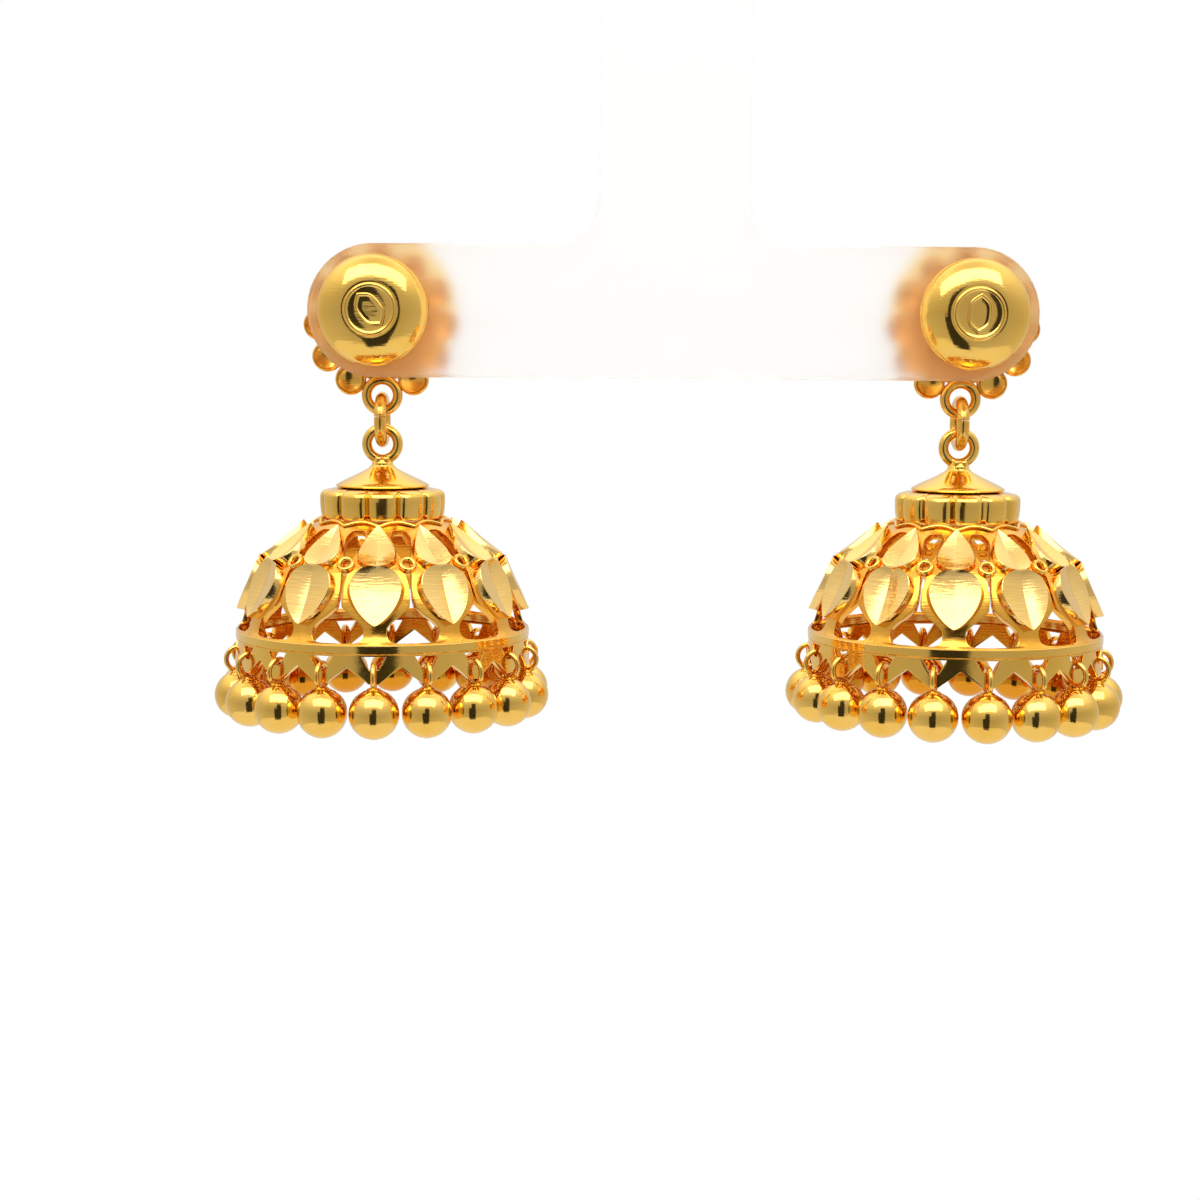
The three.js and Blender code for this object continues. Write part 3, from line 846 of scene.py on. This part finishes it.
# Each row of openings has its tile's ends, its own ends, and half widths at places down it.
# Places are shares of the dome's outline, and widths are shares of the space of a leaf.
opening_rows = [
    ((0.0, 0.4), (0.09, 0.375), [(0.09, 0.2), (0.16, 0.23), (0.25, 0.18), (0.34, 0.13), (0.375, 0.11)]),
    ((0.4, 0.465), (0.411, 0.453), [(0.4, 0.06), (0.5, 0.06)]),
    ((0.465, 1.0), (0.49, 0.985), [(0.49, 0.08), (0.54, 0.04), (0.6, 0.02), (0.72, 0.02), (0.76, 0.06),
                                   (0.79, 0.14), (0.83, 0.26), (0.87, 0.35), (0.985, 0.42)]),
]


def pierced_tile(side, middle, row):
    """One tile of the sheet about its opening. Loops lead from the opening, a rounded box
    whose width follows the row's table, out to the tile's own straight edges."""
    (top, bottom), (start, end), widths = row
    turn = np.arange(64) / 64 * 2 * np.pi
    cosine, sine = np.cos(turn), np.sin(turn)
    box = np.maximum(np.abs(cosine), np.abs(sine))
    along = (start + end) / 2 + (end - start) / 2 * np.sign(sine) * np.abs(sine) ** 0.6
    reach = np.interp(along, *np.array(widths).T)
    inner = np.stack([reach * np.sign(cosine) * np.abs(cosine) ** 0.4, along], -1)
    outer = np.stack([0.5 * cosine / box, (top + bottom) / 2 + (bottom - top) / 2 * sine / box], -1)
    share = np.array([0, 0.1, 0.35, 0.65, 1])[:, None, None]
    loops = inner * (1 - share) + outer * share
    return grid(on_dome(side, middle + loops[..., 0] * leaf_space, loops[..., 1], 0))


def sheet_gold(side, name, tones):
    """A bell's sheet: its own tones outside, and painted shade inside, a redder gold that stands for shade
    and the gold's reflections there.
    """
    return painted_shade_gold(f"{side}_{name}", tones, satin_surface, (*bell_axes[side], 0), (1, 1, 0))


def walled(piece, thickness, edge):
    """Gives a sheet its thickness inwards, and breaks its sharp edges."""
    wall = piece.modifiers.new("sheet", "SOLIDIFY")
    wall.thickness = thickness * mm
    wall.offset = -1
    broken = piece.modifiers.new("broken_edges", "BEVEL")
    broken.width = edge * mm
    broken.segments = 2
    broken.limit_method = "ANGLE"
    broken.angle_limit = math.radians(55)


for side in ("left", "right"):
    tiles = []
    eyelets = []
    for place in range(leaves_around):
        middle = leaf_turns[side] + (place + 0.5) * leaf_space
        tiles += [pierced_tile(side, middle, row) for row in opening_rows]
        centre = on_dome(side, middle, eyelet_along, 0.1)
        side_way = np.array([math.cos(middle), math.sin(middle), 0])
        down_way = on_dome(side, middle, eyelet_along + 0.01, 0) - on_dome(side, middle, eyelet_along, 0)
        plane = (side_way, down_way / np.linalg.norm(down_way))
        eyelets.append(wire_ring(centre, eyelet_radius, eyelet_wire, plane, around=28, sides=12))
    pierced = lay_piece(
        f"{side}_pierced_dome", tiles, sheet_gold(side, "dome_gold", dome_tones), f"{side}_drop",
        closed=False,
    )
    walled(pierced, sheet, dome_edge)
    lay_piece(
        f"{side}_eyelets", eyelets, satin_gold, f"{side}_drop", crease=60,
    )

# Leaves. Twelve small leaves over twelve large ones, each a thick plate of gold soldered on
# the sheet, cut by a diamond wheel in two bright facets that meet in a crease. A sloping
# border leads from each leaf's rim down to the sheet.
# A leaf's ends are shares of the dome's outline, and its half width is a share of the space of
# a leaf. Two powers round its ends, and its thickness, sag and cut are in millimetres.
leaf_rows = [
    {"top": 0.1, "bottom": 0.475, "half": 0.31, "round_top": 0.9, "round_foot": 0.5,
     "thick": 0.48, "sag": 0.16, "facet": 0.26},
    {"top": 0.475, "bottom": 0.87, "half": 0.36, "round_top": 0.42, "round_foot": 0.85,
     "thick": 0.56, "sag": 0.18, "facet": 0.32},
]
leaf_rim = 0.03
leaf_border = 0.05
cut_tones = ((0.98, 0.65, 0.22), (0.95, 0.6, 0.17))
cut_surface = (0.05, 0.12, 0.3)
cut_strength = 0.18
cut_depth = 0.05


def cut_leaf(side, middle, row):
    """A leaf's surface: down it runs v, and across it u from one edge to the other. Its half
    width is v to one power times 1 - v to another. Its face falls in a line from both edges
    to the crease, and its middle is cut lower than its ends, as a flat cut on a round dome.
    Past the edges, where u runs from 1 to 2, the border slopes down to the sheet."""
    v = (1 - np.cos(np.linspace(0, np.pi, 37))) / 2
    powers = (row["round_top"], row["round_foot"])
    peak = powers[0] / (powers[0] + powers[1])
    width = v ** powers[0] * (1 - v) ** powers[1] / (peak ** powers[0] * (1 - peak) ** powers[1])
    face = np.linspace(-1, 1, 21) * (1 - leaf_rim)
    u = np.concatenate([[-2.2, -2, -1], face, [1, 2, 2.2]])
    inside = np.clip(u, -1, 1)
    crease = 1 - np.abs(inside)
    lift = row["thick"] - row["sag"] * 4 * v[:, None] * (1 - v[:, None])
    lift = lift - row["facet"] * crease * width[:, None] - leaf_rim * (crease == 0)
    lift = np.where(np.abs(u) > 1, 0.02, lift)
    lift = np.where(np.abs(u) > 2, -0.1, lift)
    border = (u - inside) * np.sqrt(width)[:, None] * leaf_border
    angle = middle + (inside * width[:, None] * row["half"] + border) * leaf_space
    along = (row["top"] + (row["bottom"] - row["top"]) * v)[:, None]
    points, quads = grid(on_dome(side, angle, along, lift))
    lines = np.stack(np.broadcast_arrays(u, v[:, None] * 1.3), -1).reshape(-1, 2)
    return (points, quads), lines


def cut_finish():
    """Diamond-cut gold: mirror bright, with fine steps that the wheel leaves across each leaf,
    from the leaf's own UV map, where V runs down it."""
    made = gold_finish("diamond_cut_gold", *cut_tones, *cut_surface)
    tree = made.node_tree
    nodes, links, shader = tree.nodes, tree.links, tree.nodes["Principled BSDF"]
    lines = nodes.new("ShaderNodeUVMap")
    lines.uv_map = "cut_lines"
    stretched = nodes.new("ShaderNodeMapping")
    stretched.inputs["Scale"].default_value = (0.8, 22, 1)
    links.new(lines.outputs[0], stretched.inputs["Vector"])
    steps = nodes.new("ShaderNodeTexNoise")
    steps.inputs["Scale"].default_value = 1
    steps.inputs["Detail"].default_value = 4
    links.new(stretched.outputs[0], steps.inputs["Vector"])
    bump = nodes.new("ShaderNodeBump")
    bump.inputs["Strength"].default_value = cut_strength
    bump.inputs["Distance"].default_value = cut_depth * mm
    links.new(steps.outputs[0], bump.inputs["Height"])
    links.new(shader.inputs["Normal"].links[0].from_socket, bump.inputs["Normal"])
    links.new(bump.outputs[0], shader.inputs["Normal"])
    return made


cut_gold = cut_finish()

for side in ("left", "right"):
    shells, lines = [], []
    for place in range(leaves_around):
        for row in leaf_rows:
            shell, cut = cut_leaf(side, leaf_turns[side] + place * leaf_space, row)
            shells.append(shell)
            lines.append(cut)
    lay_piece(
        f"{side}_cut_leaves", shells, cut_gold, f"{side}_drop", crease=16,
        cut_lines=np.concatenate(lines),
    )

# Bands. Each is a flat strip of gold, bent round in a hoop and soldered between the dome and
# the skirt, and polished like a mirror.
band_height = 0.55
band_lip = 0.04
band_corner = 0.06
band_top = dome_top - dome_height
band_bottom = band_top - band_height

for side in ("left", "right"):
    outer, inner = band_radius + band_lip, band_radius - sheet
    rows = [(outer - band_corner, band_top), (outer, band_top - band_corner),
            (outer, band_bottom + band_corner), (outer - band_corner, band_bottom),
            (inner + band_corner, band_bottom), (inner, band_bottom + band_corner),
            (inner, band_top - band_corner), (inner + band_corner, band_top)]
    angle = np.linspace(0, 2 * np.pi, 144, endpoint=False)
    radius, height = (np.array(values)[:, None] for values in zip(*rows))
    lay_piece(
        f"{side}_polished_band", [grid(round_bell(side, angle, radius, height), tube=True)],
        polished_gold, f"{side}_drop", crease=30,
    )

# Skirts. Each is a gold sheet sawn in a zigzag and soldered under the band: eighteen feet,
# each with a three-cornered hole over it for a bead's loop, and a pointed arch between two.
feet = 18
foot_turns = {"left": math.radians(2.5), "right": math.radians(3)}
foot_space = 2 * math.pi / feet
skirt_flare = 0.1
skirt_edge = 0.04
skirt_height = band_bottom - skirt_bottom
# Corners in shares of a foot's space across and of the skirt's height down, and where each
# comes on the way round.
hole_corners = [(-0.23, 0.06), (0.23, 0.06), (0.09, 0.52), (-0.09, 0.52), (-0.23, 0.06)]
foot_corners = [(-0.5, 0), (0.5, 0), (0.5, 0.44), (0.15, 0.92), (0.1, 1), (-0.1, 1),
                (-0.15, 0.92), (-0.5, 0.44), (-0.5, 0)]
hole_stops = [0, 0.25, 0.6, 0.75, 1]
foot_stops = [0, 0.25, 0.36, 0.56, 0.61, 0.74, 0.79, 0.89, 1]


def foot_tile(side, middle):
    """One foot of the skirt: loops lead from its hole out to its own zigzag edge."""
    way = np.unique(np.concatenate([np.linspace(0, 1, 61), hole_stops, foot_stops]))[:-1]
    inner = np.stack([np.interp(way, hole_stops, part) for part in np.array(hole_corners).T], -1)
    outer = np.stack([np.interp(way, foot_stops, part) for part in np.array(foot_corners).T], -1)
    share = np.array([0, 0.15, 0.5, 0.85, 1])[:, None, None]
    loops = inner * (1 - share) + outer * share
    angle, down = middle + loops[..., 0] * foot_space, loops[..., 1]
    radius = band_radius + skirt_flare * down
    return grid(round_bell(side, angle, radius, band_bottom - skirt_height * down))


for side in ("left", "right"):
    tiles = [foot_tile(side, foot_turns[side] + place * foot_space) for place in range(feet)]
    # The skirt's inner side carries painted shade, a redder gold.
    skirt = lay_piece(
        f"{side}_sawn_skirt", tiles, sheet_gold(side, "skirt_gold", satin_tones), f"{side}_drop",
        closed=False,
    )
    walled(skirt, sheet, skirt_edge)

# Beads. Each is a hollow ball, polished, with a soldered cap and a wire loop that passes
# through the hole over one foot. All hang inside the skirt's line.
bead_radius = 1.45
bead_loop_radius = 0.725
bead_loop_wire = 0.15
# Radius, and height over the top of the ball.
cap_profile = [(0, -0.12), (0.42, -0.12), (0.45, -0.06), (0.36, 0.02), (0.2, 0.08), (0, 0.1)]

for side in ("left", "right"):
    # Painted shade and painted reflection: each bead's side towards the bell's axis is painted a redder gold.
    bead_gold = painted_shade_gold(
        f"{side}_bead_gold", polished_tones, polished_surface, (*bell_axes[side], 0), (1, 1, 0),
    )
    for place in range(feet):
        node = f"{side}_bead_{place + 1:02d}"
        low, high = (np.array(corner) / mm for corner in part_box(node))
        angle = foot_turns[side] + place * foot_space
        skirt_radius = band_radius + skirt_flare - sheet / 2
        foot = round_bell(side, angle, skirt_radius, low[2])
        centre = foot + [0, 0, bead_radius]
        loop_centre = foot + [0, 0, high[2] - low[2] - bead_loop_radius - bead_loop_wire]
        out_way = np.array([math.sin(angle), -math.cos(angle), 0])
        cap = turned([(radius, bead_radius + rise) for radius, rise in cap_profile], 28)
        shells = [
            ball(centre, bead_radius), grid(cap + centre),
            wire_ring(loop_centre, bead_loop_radius, bead_loop_wire, (out_way, (0, 0, 1)),
                      around=40, sides=12),
        ]
        lay_piece(
            f"{side}_polished_bead_{place + 1:02d}", shells, bead_gold, f"{side}_drop",
            [node], crease=50,
        )
